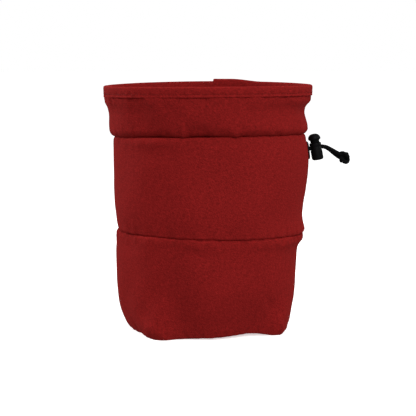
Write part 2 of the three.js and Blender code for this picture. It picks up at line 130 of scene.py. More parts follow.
def ring_faces(rings, count, comes_round):
    """Faces between rings of equally many points, and over both ends of a stack that doesn't come round."""
    bands = rings if comes_round else rings - 1
    band = np.arange(bands)[:, None] * count
    after = ((np.arange(bands) + 1) % rings)[:, None] * count
    here = np.arange(count)[None, :]
    beside = (here + 1) % count
    quads = np.stack([band + here, band + beside, after + beside, after + here], axis=-1)
    faces = quads.reshape(-1, 4).tolist()
    if not comes_round:
        faces.append(list(range(count))[::-1])
        faces.append(list(range((rings - 1) * count, rings * count)))
    return faces


def add_rings(name, rings, comes_round):
    """A closed piece through a stack of rings, an array of rings by points by 3."""
    rings = np.asarray(rings)
    faces = ring_faces(len(rings), rings.shape[1], comes_round)
    piece = add_mesh(name, rings.reshape(-1, 3), faces)
    face_out(piece)
    return piece


def face_out(piece):
    """Turns every face's front outwards."""
    work = bmesh.new()
    work.from_mesh(piece.data)
    bmesh.ops.recalc_face_normals(work, faces=work.faces)
    work.to_mesh(piece.data)
    work.free()


def join_pieces(name, pieces):
    """Joins meshes into the first one."""
    bpy.ops.object.select_all(action="DESELECT")
    for piece in pieces:
        piece.select_set(True)
    bpy.context.view_layer.objects.active = pieces[0]
    bpy.ops.object.join()
    pieces[0].name = name
    return pieces[0]


def tube(name, line, radius, sides=24, braid=0.0, closed=False):
    """A round tube along a line in millimetres, with a braid's relief where braid is its depth."""
    line = np.asarray(line, float)
    ahead = np.roll(line, -1, axis=0) - np.roll(line, 1, axis=0)
    if not closed:
        ahead[0] = line[1] - line[0]
        ahead[-1] = line[-1] - line[-2]
    ahead /= np.linalg.norm(ahead, axis=1)[:, None]
    side = np.cross(ahead[0], TUBE_GUIDE)
    side /= np.linalg.norm(side)
    sideways = []
    for direction in ahead:
        side = side - direction * np.dot(side, direction)
        side /= np.linalg.norm(side)
        sideways.append(side)
    sideways = np.array(sideways)
    if closed:
        back = sideways[-1] - ahead[0] * np.dot(sideways[-1], ahead[0])
        twist = math.atan2(np.dot(np.cross(sideways[0], back), ahead[0]), np.dot(sideways[0], back))
        turns = -twist * np.arange(len(line)) / len(line)
        across = np.cross(ahead, sideways)
        sideways = sideways * np.cos(turns)[:, None] + across * np.sin(turns)[:, None]
    across = np.cross(ahead, sideways)
    steps = np.linalg.norm(np.diff(line, axis=0), axis=1)
    along = np.concatenate([[0], np.cumsum(steps)])[:, None]
    turn = whole_turn(sides)[None, :]
    one_way = np.abs(np.sin(BRAID_STRANDS * turn / 2 + math.pi * along / BRAID_PITCH))
    other_way = np.abs(np.sin(BRAID_STRANDS * turn / 2 - math.pi * along / BRAID_PITCH))
    between_strands = braid * (1 - np.maximum(one_way, other_way))
    hollows = braid * BRAID_HOLLOW * (1 - one_way * other_way)
    out = radius - between_strands - hollows
    rings = (
        line[:, None, :]
        + sideways[:, None, :] * (out * np.cos(turn))[:, :, None]
        + across[:, None, :] * (out * np.sin(turn))[:, :, None]
    )
    return add_rings(name, rings, comes_round=closed)


# Curves and tables


def smooth_table(keys, values, at):
    """A smooth curve through a table's values, with no overshoot at its peaks."""
    keys, values, at = (np.asarray(a, float) for a in (keys, values, at))
    span = np.diff(keys)
    slope = np.diff(values) / span
    tangent = np.zeros(len(keys))
    same_way = slope[:-1] * slope[1:] > 0
    weight_left = 2 * span[1:] + span[:-1]
    weight_right = span[1:] + 2 * span[:-1]
    with np.errstate(divide="ignore", invalid="ignore"):
        mean = (weight_left + weight_right) / (weight_left / slope[:-1] + weight_right / slope[1:])
    tangent[1:-1] = np.where(same_way, mean, 0)
    tangent[0] = slope[0]
    tangent[-1] = slope[-1]
    at = np.clip(at, keys[0], keys[-1])
    i = np.clip(np.searchsorted(keys, at, side="right") - 1, 0, len(keys) - 2)
    share = (at - keys[i]) / span[i]
    square, cube = share**2, share**3
    return (
        (2 * cube - 3 * square + 1) * values[i]
        + (cube - 2 * square + share) * span[i] * tangent[i]
        + (3 * square - 2 * cube) * values[i + 1]
        + (cube - square) * span[i] * tangent[i + 1]
    )


def from_table(table, column, at):
    """A smooth value from one column of a table, whose first column holds the keys."""
    table = np.array(table, float)
    return smooth_table(table[:, 0], table[:, column], at)


def smoothstep(share):
    held = np.clip(share, 0, 1)
    return held * held * (3 - 2 * held)


def cosine_and_sine(angle):
    turned = np.radians(angle)
    return np.cos(turned), np.sin(turned)


def mix(a, b, share):
    return a + (b - a) * share


# Seams: height, then the rise towards the right, the front and both sides as shares of SEAM_SWAY

HEM_HEIGHT = LOWER_HEIGHT + MIDDLE_HEIGHT + COLLAR_HEIGHT
SEAMS = {
    "floor": (0.0, 0, 0, 0),
    "lower": (LOWER_HEIGHT, -1.2, 0.3, 0),
    "upper": (LOWER_HEIGHT + MIDDLE_HEIGHT, 0.8, 1.3, 0),
    "hem": (HEM_HEIGHT, 0.65, 0.75, 0),
    "rim": (HEM_HEIGHT + RIM_HEIGHT, 0.35, -0.8, -0.75),
}

# Sections: share of the panel's height, then left and right as shares of half the body's width,
# front and back as shares of half its depth

LOWER_SECTIONS = (
    (0.00, 0.831, 0.830, 0.900, 0.825),
    (0.08, 0.893, 0.862, 0.925, 0.885),
    (0.16, 0.930, 0.886, 0.935, 0.912),
    (0.25, 0.955, 0.911, 0.944, 0.929),
    (0.36, 0.970, 0.936, 0.948, 0.943),
    (0.52, 0.980, 0.951, 0.961, 0.953),
    (0.68, 0.980, 0.955, 0.968, 0.960),
    (0.80, 0.977, 0.961, 0.972, 0.965),
    (0.87, 0.971, 0.975, 0.973, 0.966),
    (0.94, 0.974, 1.018, 0.975, 0.968),
    (1.00, 0.967, 1.016, 0.970, 0.964),
)
MIDDLE_SECTIONS = (
    (0.00, 0.966, 1.020, 0.968, 0.966),
    (0.04, 0.971, 1.021, 0.974, 0.970),
    (0.10, 0.983, 1.010, 0.985, 0.979),
    (0.18, 0.993, 1.000, 0.995, 0.986),
    (0.30, 1.003, 1.013, 1.001, 0.990),
    (0.44, 1.004, 1.038, 1.002, 0.992),
    (0.60, 1.000, 1.061, 1.001, 0.992),
    (0.74, 1.001, 1.069, 1.000, 0.992),
    (0.87, 1.002, 1.059, 0.999, 0.990),
    (0.94, 1.000, 1.043, 0.996, 0.986),
    (1.00, 0.996, 1.030, 0.992, 0.984),
)
COLLAR_SECTIONS = (
    (0.00, 1.014, 1.036, 1.014, 1.008),
    (0.06, 1.027, 1.044, 1.028, 1.020),
    (0.14, 1.040, 1.055, 1.044, 1.034),
    (0.25, 1.044, 1.052, 1.051, 1.040),
    (0.38, 1.046, 1.038, 1.057, 1.041),
    (0.56, 1.048, 1.022, 1.065, 1.044),
    (0.70, 1.058, 1.032, 1.072, 1.053),
    (0.86, 1.088, 1.083, 1.082, 1.079),
    (1.00, 1.097, 1.092, 1.092, 1.089),
)
RIM_SECTIONS = ((0.00, 1.107, 1.107, 1.102, 1.102), (1.00, 1.107, 1.107, 1.102, 1.102))

# The base's outline: angle, reach as a share of the lowest section's, lift as a share of BASE_LIFT

BASE_OUTLINE = (
    (0, 1.00, 0), (184, 1.00, 0), (210, 1.00, 0), (226, 1.07, 0), (237, 1.12, 0),
    (250, 0.99, 0.2), (270, 0.93, 0.5), (290, 0.90, 0.78), (303, 0.91, 1), (310, 0.95, 0.88),
    (316, 1.00, 0.5), (321, 1.06, 0.1), (326, 1.11, 0), (333, 1.07, 0), (346, 1.01, 0),
    (360, 1.00, 0),
)

# Each panel's folds: angle and share of its height, half-widths in degrees and share of height, and push as
# a share of FOLD_DEPTH, in being negative

FOLDS = {
    "lower": (
        (261, 0.50, 6, 0.50, 0.16), (249, 0.46, 8, 0.42, -0.20), (262, 0.83, 11, 0.07, -0.30),
        (233, 0.22, 14, 0.10, -0.24), (318, 0.27, 9, 0.14, -0.30), (130, 0.40, 20, 0.20, -0.45),
        (55, 0.55, 16, 0.25, -0.35),
    ),
    "middle": (
        (234, 0.95, 22, 0.05, 0.24), (236, 0.82, 20, 0.09, -0.15), (261, 0.20, 8, 0.42, 0.20),
        (244, 0.26, 11, 0.42, -0.24), (35, 0.35, 18, 0.22, -0.35),
    ),
    "collar": (
        (238, 0.16, 14, 0.44, -0.50), (268, 0.62, 16, 0.22, 0.16), (120, 0.25, 22, 0.25, -0.30),
    ),
}

# How the collar is drawn in under itself above its seam: angle, depth in millimetres, and the share
# of its height that this reaches. Two sharp pinches at the front, at 255.6 and 285.8 degrees, stay out.

UNDERCUT = (
    (0, 0.7, 0.12), (60, 1.2, 0.16), (110, 1.6, 0.26), (150, 0.9, 0.14), (200, 1.1, 0.13),
    (225, 1.9, 0.19), (240, 2.2, 0.23), (252, 2.2, 0.27), (254.6, 1.3, 0.30), (255.6, 0.1, 0.34),
    (257.0, 2.8, 0.40), (260, 4.6, 0.44), (268, 4.6, 0.40), (277, 3.3, 0.30), (283, 2.3, 0.20),
    (284.8, 1.1, 0.17), (285.8, -0.5, 0.17), (286.8, 1.2, 0.18), (290, 2.0, 0.22), (302, 2.2, 0.23),
    (316, 1.4, 0.17), (335, 0.9, 0.13), (360, 0.7, 0.12),
)
UNDERCUT_CURVE = 1.4

# Each panel's creases: angle and share of height at each end, half-width and depth in millimetres

CREASES = {
    "lower": (
        (222, 0.27, 246, 0.12, 2.8, -0.28), (322, 0.30, 330, 0.05, 2.0, -0.8),
        (309, 0.42, 318, 0.24, 2.4, -0.6), (250, 0.92, 268, 0.86, 2.2, -0.5),
    ),
    "middle": (
        (14, 0.30, 40, 0.52, 2.8, -0.7), (340, 0.30, 352, 0.52, 2.6, -0.5),
    ),
    "collar": (
        (330, 0.55, 352, 0.68, 2.6, -0.6), (60, 0.30, 84, 0.60, 2.8, -0.5),
    ),
}

# A crease's taper as a share of its length, and its raised shoulder: the height as a share of its depth,
# the distance and width as shares of its half-width

CREASE_TAPER = 0.42
SHOULDER_HEIGHT = 0.55
SHOULDER_DISTANCE = 1.9
SHOULDER_WIDTH = 1.3

# The panels, from seam to seam

PANELS = {
    "lower": {"from": "floor", "to": "lower", "sections": LOWER_SECTIONS, "tall": LOWER_HEIGHT},
    "middle": {"from": "lower", "to": "upper", "sections": MIDDLE_SECTIONS, "tall": MIDDLE_HEIGHT},
    "collar": {"from": "upper", "to": "hem", "sections": COLLAR_SECTIONS, "tall": COLLAR_HEIGHT},
    "rim": {"from": "hem", "to": "rim", "sections": RIM_SECTIONS, "tall": RIM_HEIGHT},
}

# The rim's overlap at the back: millimetres that it stands up and out, then angles in degrees

OVERLAP_RISE = 1.6
OVERLAP_PROUD = 0.7
OVERLAP_EDGE = 86.6
OVERLAP_FLAT = 76.0
OVERLAP_END = 56.0
OVERLAP_EDGE_WIDTH = 0.5


def overlap_at(angle):
    """How much of the rim's overlap there is at an angle, from 0 to 1."""
    slope = smoothstep((angle - OVERLAP_END) / (OVERLAP_FLAT - OVERLAP_END))
    edge = smoothstep((OVERLAP_EDGE + OVERLAP_EDGE_WIDTH - angle) / OVERLAP_EDGE_WIDTH)
    return slope * edge


def seam_height(name, angle):
    height, to_right, to_front, to_sides = SEAMS[name]
    right, back = cosine_and_sine(angle)
    sway = SEAM_SWAY * (to_right * right - to_front * back + to_sides * right**2)
    overlap = OVERLAP_RISE * overlap_at(angle) if name == "rim" else 0
    return height + sway + overlap


def height_at(panel, angle, up):
    """How high a place on a panel is, from its angle and its share of the way up."""
    made = PANELS[panel]
    lowest = seam_height(made["from"], angle) - SEAM_OVERLAP / 2
    if panel == "lower":
        lowest = BASE_LIFT * from_table(BASE_OUTLINE, 2, angle)
    highest = seam_height(made["to"], angle) + (0 if panel == "rim" else SEAM_OVERLAP / 2)
    return mix(lowest, highest, up)


def up_at(panel, angle, height):
    """The share of the way up a panel where a height is."""
    lowest = height_at(panel, angle, 0)
    return (height - lowest) / (height_at(panel, angle, 1) - lowest)


def angle_between(angle, other):
    """The turn from one angle to another, from -180 to 180 degrees."""
    return (angle - other + 540) % 360 - 180


def fold_push(panel, angle, up):
    """The broad folds, in or out."""
    push = np.zeros(np.broadcast(angle, up).shape)
    for at_angle, at_up, wide, tall, depth in FOLDS[panel]:
        across = angle_between(angle, at_angle) / wide
        push += depth * np.exp(-(across**2) - ((up - at_up) / tall) ** 2)
    return push * FOLD_DEPTH


def undercut_push(angle, up):
    """How the collar draws in under itself above its seam."""
    depth = from_table(UNDERCUT, 1, np.mod(angle, 360))
    height = from_table(UNDERCUT, 2, np.mod(angle, 360))
    return -depth * np.clip(1 - up / height, 0, 1) ** UNDERCUT_CURVE


def crease_push(panel, angle, up):
    """Long narrow folds, each worked out on the panel laid flat."""
    around = GIRTH / 360
    tall = height_at(panel, 0, 1) - height_at(panel, 0, 0)
    push = np.zeros(np.broadcast(angle, up).shape)
    for angle_a, up_a, angle_b, up_b, wide, depth in CREASES[panel]:
        x = angle_between(angle, angle_a) * around
        z = (up - up_a) * tall
        run = np.array([angle_between(angle_b, angle_a) * around, (up_b - up_a) * tall])
        length = np.hypot(*run)
        along = (x * run[0] + z * run[1]) / length
        across = (x * run[1] - z * run[0]) / length
        taper = np.exp(-((along / length - 0.5) / CREASE_TAPER) ** 4)
        valley = np.exp(-((across / wide) ** 2))
        past_shoulder = (across - SHOULDER_DISTANCE * wide) / (SHOULDER_WIDTH * wide)
        shoulder = SHOULDER_HEIGHT * np.exp(-(past_shoulder**2))
        push += depth * (valley - shoulder) * taper
    return push


RIPPLE_SPREAD = 0.5


def ripples(seed, count, longest, shortest, lean=0.0):
    """Soft ripples that join up round the bag: rows of harmonic, rise, phase and weight."""
    draw = np.random.default_rng(seed)
    rows = []
    for _ in range(count):
        length = math.exp(draw.uniform(math.log(shortest), math.log(longest)))
        harmonic = max(1, round(GIRTH / length))
        rise = draw.normal(lean, RIPPLE_SPREAD) / length
        rows.append((harmonic, rise, draw.uniform(0, 2 * math.pi), length / longest))
    return rows


def ripple_push(rows, angle, height):
    """The ripples' push in or out at a place, evened to a usual size of 1."""
    total = np.zeros(np.broadcast(angle, height).shape)
    weights = 0.0
    for harmonic, rise, phase, weight in rows:
        total += weight * np.sin(harmonic * np.radians(angle) + 2 * math.pi * rise * height + phase)
        weights += weight**2
    return total / math.sqrt(weights / 2)


# Slack and puckers: the ripples' seed and count, the longest and shortest in millimetres, and their lean

SLACK = {
    "lower": ripples(3, 14, 70, 24, 0.3),
    "middle": ripples(5, 14, 80, 26, -0.2),
    "collar": ripples(9, 14, 60, 16, 0.1),
}
SLACK_DEPTH = {"lower": 0.42, "middle": 0.32, "collar": 0.38}
PUCKERS = {
    "lower": ripples(23, 22, 15, 5),
    "middle": ripples(25, 22, 15, 5),
    "collar": ripples(29, 26, 13, 4.5),
}
PUCKER_DEPTH = 0.2
PUCKER_REACH = 6.5

# The sewn edges: the stitches' dips, and the roll into a seam, with its depth at a panel's two edges

STITCH_PITCH = 2.3
STITCH_DIP = 0.22
STITCH_DIP_REACH = 0.9
ROLL = 1.7
ROLL_CLOSED = 0.999
ROLL_DEPTHS = {"lower": (0.6, 1.8), "middle": (1.8, 1.5), "collar": (2.0, 0.35)}


def stitch_dips(angle):
    """The dip at each stitch of a seam, from 0 to 1."""
    stitches = np.round(GIRTH / STITCH_PITCH)
    return 0.5 - 0.5 * np.cos(stitches * np.radians(angle))


def edge_push(panel, angle, below, above):
    """What the sewn edges do to a panel: a roll into the seam, puckers and stitch dips."""
    dips = stitch_dips(angle)
    push = 0.0
    for distance, depth in zip((below, above), ROLL_DEPTHS[panel]):
        roll = np.clip(1 - distance / ROLL, 0, 1)
        push = push - depth * (1 - np.sqrt(1 - roll**2 * ROLL_CLOSED))
        near = np.exp(-((distance / PUCKER_REACH) ** 2))
        push = push + PUCKER_DEPTH * near * ripple_push(PUCKERS[panel], angle, distance)
        push = push - STITCH_DIP * dips * np.exp(-((distance / STITCH_DIP_REACH) ** 2))
    return push


def panel_reach(panel, angle, up):
    """The reach along X and Y before any fold."""
    sections = PANELS[panel]["sections"]
    left, right, front, back = (from_table(sections, column, up) for column in (1, 2, 3, 4))
    cosine, sine = cosine_and_sine(angle)
    reach_x = BODY_WIDTH / 2 * np.where(cosine > 0, right, left)
    reach_y = BODY_DEPTH / 2 * np.where(sine > 0, back, front)
    if panel == "lower":
        shape = from_table(BASE_OUTLINE, 1, angle)
        weight = 1 - smoothstep(up / BASE_FADE)
        reach_x = reach_x * mix(1, shape, weight)
        reach_y = reach_y * mix(1, shape, weight)
    return reach_x, reach_y


def panel_points(panel, angle, up, push):
    """Points of a panel, pushed out from its sections by push millimetres."""
    angle, up = np.broadcast_arrays(np.asarray(angle, float), np.asarray(up, float))
    turned = angle % 360
    reach_x, reach_y = panel_reach(panel, turned, up)
    cosine, sine = cosine_and_sine(turned)
    x = reach_x * cosine + push * cosine
    y = reach_y * sine + push * sine
    return as_points(x, y, height_at(panel, turned, up))


def cloth_push(panel, angle, up):
    """Everything that moves the cloth of a panel in or out, without its sewn edges."""
    height = height_at(panel, angle, up)
    push = fold_push(panel, angle, up) + crease_push(panel, angle, up)
    if panel == "collar":
        push = push + undercut_push(angle, up)
    return push + SLACK_DEPTH[panel] * ripple_push(SLACK[panel], angle, height)


# How finely the cloth is made: points round the bag with their angles, and millimetres up it

AROUND_COUNT = 720
AROUND = np.linspace(0, 360, AROUND_COUNT, endpoint=False)
EDGE_STEPS = (0, 0.08, 0.2, 0.36, 0.56, 0.8, 1.1, 1.5, 2.0, 2.7, 3.6, 4.8)
ROW_STEP = 1.25
INNER_STEP = 2.6
FEWEST_ROWS = 3

# How far a seam's turned-in edges stand into the bag, and how far up and down they reach

INNER_SEAM = 0.9
INNER_SEAM_REACH = 3.5


def row_distances(tall, step):
    """Distances up a panel, close together at its two edges."""
    start = EDGE_STEPS[-1]
    middle = np.linspace(start, tall - start, max(FEWEST_ROWS, int((tall - 2 * start) / step)))
    return np.concatenate([EDGE_STEPS[:-1], middle, tall - np.array(EDGE_STEPS[-2::-1])])


def tunnel_push(height):
    """The drawcord's raised tunnel on the inner face."""
    from_middle = np.abs(height - EYELET_HEIGHT)
    return TUNNEL_DEPTH * smoothstep((TUNNEL_HEIGHT / 2 + TUNNEL_EDGE - from_middle) / TUNNEL_EDGE)


def cloth_panel(panel):
    """A sewn panel as a closed wall: its outer face, rolled into both seams, and its inner face."""
    angle = AROUND[None, :]
    tall = PANELS[panel]["tall"]
    outer_rows = row_distances(tall, ROW_STEP)[:, None]
    outer_up = outer_rows / tall
    outer_push = cloth_push(panel, angle, outer_up)
    outer_push = outer_push + edge_push(panel, angle, outer_rows, tall - outer_rows)
    outer = panel_points(panel, angle, outer_up, outer_push)
    inner_rows = row_distances(tall, INNER_STEP)[::-1][:, None]
    inner_up = inner_rows / tall
    inner_push = cloth_push(panel, angle, inner_up) - FABRIC
    for distance in (inner_rows, tall - inner_rows):
        inner_push = inner_push - INNER_SEAM * np.exp(-((distance / INNER_SEAM_REACH) ** 2))
    if panel == "middle":
        inner_push = inner_push - tunnel_push(height_at(panel, angle, inner_up))
    inner = panel_points(panel, angle, inner_up, inner_push)
    return add_rings(panel + "_cloth", np.concatenate([outer, inner]), comes_round=True)


# The rim band's section, from its lower outer edge over its top to its lower inner edge:
# how far inside the outer reach, and the share of the band's height

RIM_PROFILE = (
    (1.50, 0.000), (0.70, 0.006), (0.32, 0.022), (0.12, 0.050), (0.06, 0.090), (0.12, 0.140),
    (0.14, 0.190), (0.16, 0.250), (0.18, 0.300), (0.18, 0.340), (0.13, 0.400), (0.07, 0.500),
    (0.03, 0.620), (0.01, 0.730), (0.05, 0.830), (0.18, 0.905), (0.46, 0.960), (0.94, 0.990),
    (1.60, 1.000), (2.26, 0.992), (2.78, 0.964), (3.12, 0.910), (3.30, 0.820), (3.40, 0.690),
    (3.44, 0.540), (3.36, 0.440), (3.12, 0.360), (3.02, 0.320), (3.16, 0.250), (3.34, 0.140),
    (3.38, 0.040), (3.20, 0.010), (2.60, 0.000),
)
RIM_STITCH_UP = 0.32
RIM_STITCH_REACH = 0.16
RIM_STITCH_DIP = 0.2
RIM_SLACK = ripples(41, 16, 50, 9)
RIM_SLACK_DEPTH = 0.14
RIM_PUCKERS = ripples(43, 26, 9, 3.2)
RIM_PUCKER_DEPTH = 0.15
RIM_PUCKER_RUN = 4

# The points close to the overlap's edge: how many degrees past it they go, and how many they are

OVERLAP_MARGIN = 0.3
OVERLAP_POINTS = 10


def rim_push(angle, share, inside):
    """The rim's unevenness: a slow wander, puckers at its stitches and the overlap's thickness."""
    near_stitch = np.exp(-(((share - RIM_STITCH_UP) / RIM_STITCH_REACH) ** 2))
    dips = stitch_dips(angle)
    push = RIM_SLACK_DEPTH * ripple_push(RIM_SLACK, angle, share * RIM_HEIGHT)
    puckers = ripple_push(RIM_PUCKERS, angle, share * RIM_PUCKER_RUN)
    push = push + RIM_PUCKER_DEPTH * near_stitch * puckers
    outward = push - RIM_STITCH_DIP * dips * near_stitch + OVERLAP_PROUD * overlap_at(angle)
    inward = push + RIM_STITCH_DIP * dips * near_stitch
    return np.where(inside, inward, outward)


def cloth_rim():
    """The folded rim band as a closed ring, with more points where the overlap's edge is."""
    edge_end = OVERLAP_EDGE + OVERLAP_EDGE_WIDTH
    edge = np.linspace(OVERLAP_EDGE - OVERLAP_MARGIN, edge_end + OVERLAP_MARGIN, OVERLAP_POINTS)
    angle = np.union1d(AROUND, edge)[None, :]
    profile = np.array(RIM_PROFILE)
    fine = np.linspace(0, 1, 2 * len(profile) - 1)
    coarse = np.linspace(0, 1, len(profile))
    inset = smooth_table(coarse, profile[:, 0], fine)[:, None]
    share = smooth_table(coarse, profile[:, 1], fine)[:, None]
    inside = inset > RIM_WALL / 2
    points = panel_points("rim", angle, share, rim_push(angle, share, inside) - inset)
    return add_rings("rim_cloth", points, comes_round=True)


# The base: its rings as shares of its outline, the share that stays flat, the depth and run of its slack,
# how steeply that starts from the edge and fades inwards, and how far the base goes into the wall round it

BASE_RINGS = np.concatenate([[1.0, 0.995, 0.98], np.linspace(0.95, 0.06, 26)])
BASE_FLAT = 0.72
BASE_SAG = 0.25
BASE_SLACK_RUN = 60
BASE_SLACK_START = 6
BASE_SLACK_FADE = 3
BASE_OVERLAP = 0.2


def base_points(inward, height, sag):
    """Rings of one face of the base, whose edge rises where the lower panel's does."""
    edge = panel_points("lower", AROUND, 0.0, -inward)
    shares = BASE_RINGS[:, None, None]
    rings = edge[None, :, :] * shares
    radial = shares[:, :, 0]
    wave = sag * ripple_push(SLACK["lower"], AROUND[None, :], radial * BASE_SLACK_RUN)
    held = np.clip((1 - radial) * BASE_SLACK_START, 0, 1)
    lift = height_at("lower", AROUND, 0)[None, :] * smoothstep((radial - BASE_FLAT) / (1 - BASE_FLAT))
    rings[:, :, 2] = height + lift + wave * held * radial**BASE_SLACK_FADE
    return rings


def cloth_base():
    """The round bottom, flat underneath, with a little slack on its upper face."""
    top = base_points(FABRIC - BASE_OVERLAP, BASE_THICKNESS, BASE_SAG)
    under = base_points(FABRIC - BASE_OVERLAP, 0.0, 0.0)
    return add_rings("base_cloth", np.concatenate([under[::-1], top]), comes_round=False)


# The rim's stitches, in millimetres, and the share of their thickness that their ends keep

RIM_STITCHES = 183
RIM_STITCH_LENGTH = 1.75
RIM_STITCH_THICK = 0.2
RIM_STITCH_DEPTH = 0.26
RIM_STITCH_PROUD = 0.1
STITCH_END = 0.02
STITCH_SIDES = 6
STITCH_RINGS = 7


def stitch_centre(angle):
    """The middle line of the rim's stitches."""
    share = np.full_like(angle, RIM_STITCH_UP)
    push = rim_push(angle, share, False) - RIM_STITCH_DEPTH + RIM_STITCH_PROUD
    return panel_points("rim", angle, share, push)


def stitch_row():
    """The rim's row of short rounded stitches."""
    along = np.linspace(-1, 1, STITCH_RINGS)
    width = RIM_STITCH_THICK * np.sqrt(np.clip(1 - along**4, STITCH_END, 1))
    half = RIM_STITCH_LENGTH / 2 / (GIRTH / 360)
    turn = whole_turn(STITCH_SIDES)
    one_stitch = ring_faces(STITCH_RINGS, STITCH_SIDES, comes_round=False)
    points, faces = [], []
    for start in np.arange(RIM_STITCHES) * 360 / RIM_STITCHES:
        line = stitch_centre(start + along * half)
        outward = line * [1, 1, 0]
        outward /= np.linalg.norm(outward, axis=1)[:, None]
        ring = (
            line[:, None, :]
            + outward[:, None, :] * (width[:, None] * np.cos(turn))[:, :, None]
            + np.array([0, 0, 1.0]) * (width[:, None] * np.sin(turn))[:, :, None]
        )
        first = len(points) * STITCH_RINGS * STITCH_SIDES
        faces += [[first + corner for corner in face] for face in one_stitch]
        points.append(ring.reshape(-1, 3))
    piece = add_mesh("rim_stitches", np.concatenate(points), faces)
    face_out(piece)
    return piece


lower = cloth_panel("lower")
middle = cloth_panel("middle")
collar = cloth_panel("collar")
rim = cloth_rim()
base = cloth_base()
rim_stitches = stitch_row()

# The drawcord's route, from inside the fabric to the knot: out and rise from the wall at the
# eyelet, and how far the pair of strands has turned, in degrees

CORD_ROUTE = (
    (-4.4, 0.4, 90), (-3.0, 0.5, 90), (-1.2, 0.8, 90), (0.8, 1.1, 90), (2.8, 1.5, 90),
    (4.8, 1.8, 90), (6.8, 2.3, 90), (8.8, 2.5, 90), (11.2, 2.2, 84), (13.7, 1.0, 79),
    (16.2, -0.7, 66), (18.7, -2.4, 52), (20.7, -3.5, 42), (22.4, -4.2, 34), (24.2, -4.8, 30),
)
ROUTE_STEPS = 10
seat_up = up_at("middle", EYELET_ANGLE % 360, EYELET_HEIGHT)
seat = panel_points("middle", EYELET_ANGLE, seat_up, fold_push("middle", EYELET_ANGLE % 360, seat_up))


def strand_line(side):
    out, rise, turn = np.array(CORD_ROUTE, float).T
    shift = side * STRAND_SPACING / 2
    cosine, sine = cosine_and_sine(turn)
    return seat + as_points(out, -shift * sine, rise + shift * cosine)


def smooth_line(points, steps):
    """A Catmull-Rom curve through points, evenly stepped between them."""
    points = np.asarray(points, float)
    padded = np.concatenate([[2 * points[0] - points[1]], points, [2 * points[-1] - points[-2]]])
    share = np.linspace(0, 1, steps, endpoint=False)[:, None]
    pieces = []
    for a, b, c, d in zip(padded, padded[1:], padded[2:], padded[3:]):
        square = (2 * a - 5 * b + 4 * c - d) * share**2
        cube = (3 * b - a - 3 * c + d) * share**3
        pieces.append(0.5 * (2 * b + (c - a) * share + square + cube))
    return np.concatenate(pieces + [points[-1:]])


upper_line = smooth_line(strand_line(1), ROUTE_STEPS)
lower_line = smooth_line(strand_line(-1), ROUTE_STEPS)
strand_upper = tube("drawcord_upper_braid", upper_line, CORD / 2, braid=BRAID_DEPTH)
strand_lower = tube("drawcord_lower_braid", lower_line, CORD / 2, braid=BRAID_DEPTH)

# The knot: its place from the eyelet, its size, and its turns and weaves

KNOT_OUT = 23.6
KNOT_DROP = 4.7
KNOT_RING = 1.7
KNOT_WEAVE = 1.3
KNOT_THICKNESS = 2.15
KNOT_LEAN = 12.0
KNOT_CORD = 2.8
KNOT_DEPTH_SHARE = 0.9
KNOT_HEIGHT_SHARE = 1.1
KNOT_TURNS = 2
KNOT_WEAVES = 3
KNOT_POINTS = 220


def knot_line():
    """The cord's path in the knot, a closed trefoil whose hole lies along the cord."""
    turn = whole_turn(KNOT_POINTS) * KNOT_TURNS
    weave = turn * KNOT_WEAVES / KNOT_TURNS
    reach = KNOT_RING + KNOT_WEAVE * np.cos(weave)
    y = reach * np.cos(turn) * KNOT_DEPTH_SHARE
    z = reach * np.sin(turn) * KNOT_HEIGHT_SHARE
    flat = as_points(KNOT_THICKNESS * np.sin(weave), y, z)
    turned = flat @ np.array(Matrix.Rotation(-math.radians(KNOT_LEAN), 3, "Y")).T
    return turned + seat + np.array([KNOT_OUT, 0, -KNOT_DROP])


knot = tube("knot_braid", knot_line(), KNOT_CORD / 2, braid=BRAID_DEPTH, closed=True)

# The lock: upright round its own axis, then leaned and placed as the solids are

LOCK_OUT = 6.6
LOCK_DROP = 6.1
LOCK_LEAN = 10.5
LOCK_HEIGHT = 11.1
LOCK_FLOOR = 1.2
LOCK_WALL = 0.55
CORD_LEVEL = 7.9
CORD_CLEARANCE = 0.3
STEM_WIDTH = 5.7
STEM_BAR = 1.1
STEM_FOOT = 1.6
SLIDE_GAP = 0.3
PRESS_TRAVEL = 1.8
PRESS_GAP = 2.0
CAP_HEIGHT = 3.9
CAP_OVERHANG = 0.25

ROOM_DEPTH = STRAND_SPACING + CORD + 2 * CORD_CLEARANCE
ROOM_LOW = CORD_LEVEL - CORD / 2 - CORD_CLEARANCE
ROOM_HIGH = CORD_LEVEL + CORD / 2 + CORD_CLEARANCE
STEM_DEPTH = ROOM_DEPTH + 2 * STEM_BAR
BARREL_WIDTH = STEM_WIDTH + 2 * SLIDE_GAP + 2 * LOCK_WALL
BARREL_DEPTH = STEM_DEPTH + 2 * SLIDE_GAP + 2 * LOCK_WALL
BORE_PAST = 1.0
ROOM_CORNER = 0.8
LOCK_EDGE = 0.12
SHARP_ANGLE = 50.0
OVAL_STEPS = 72
ROOM_STEPS = 32

# The stem's narrower end and its flare into the cap, in millimetres

STEM_TAPER = 0.4
STEM_TAPER_HEIGHT = 0.3
STEM_FLARE = 0.7
STEM_FLARE_HEIGHT = 0.6
STEM_IN_CAP = 0.1

# The barrel's outline: how far inside its full width it is, and how far above its foot or below its top

BARREL_FOOT = ((2.2, 0), (1.1, 0.05), (0.55, 0.25), (0.2, 0.6), (0.03, 1.1), (0.0, 1.7))
BARREL_TOP = ((0.0, 2.9), (0.16, 2.5), (0.16, 2.2), (0.0, 1.8), (0.0, 0.45), (0.12, 0.12), (0.4, 0))

# The cap's outline: how far inside its full width it is, and the share of its height

CAP_PROFILE = (
    (0.90, 0.00), (0.30, 0.02), (0.06, 0.10), (0.00, 0.22), (0.04, 0.36), (0.26, 0.52),
    (0.62, 0.68), (1.10, 0.81), (1.75, 0.91), (2.50, 0.97), (3.30, 1.00),
)


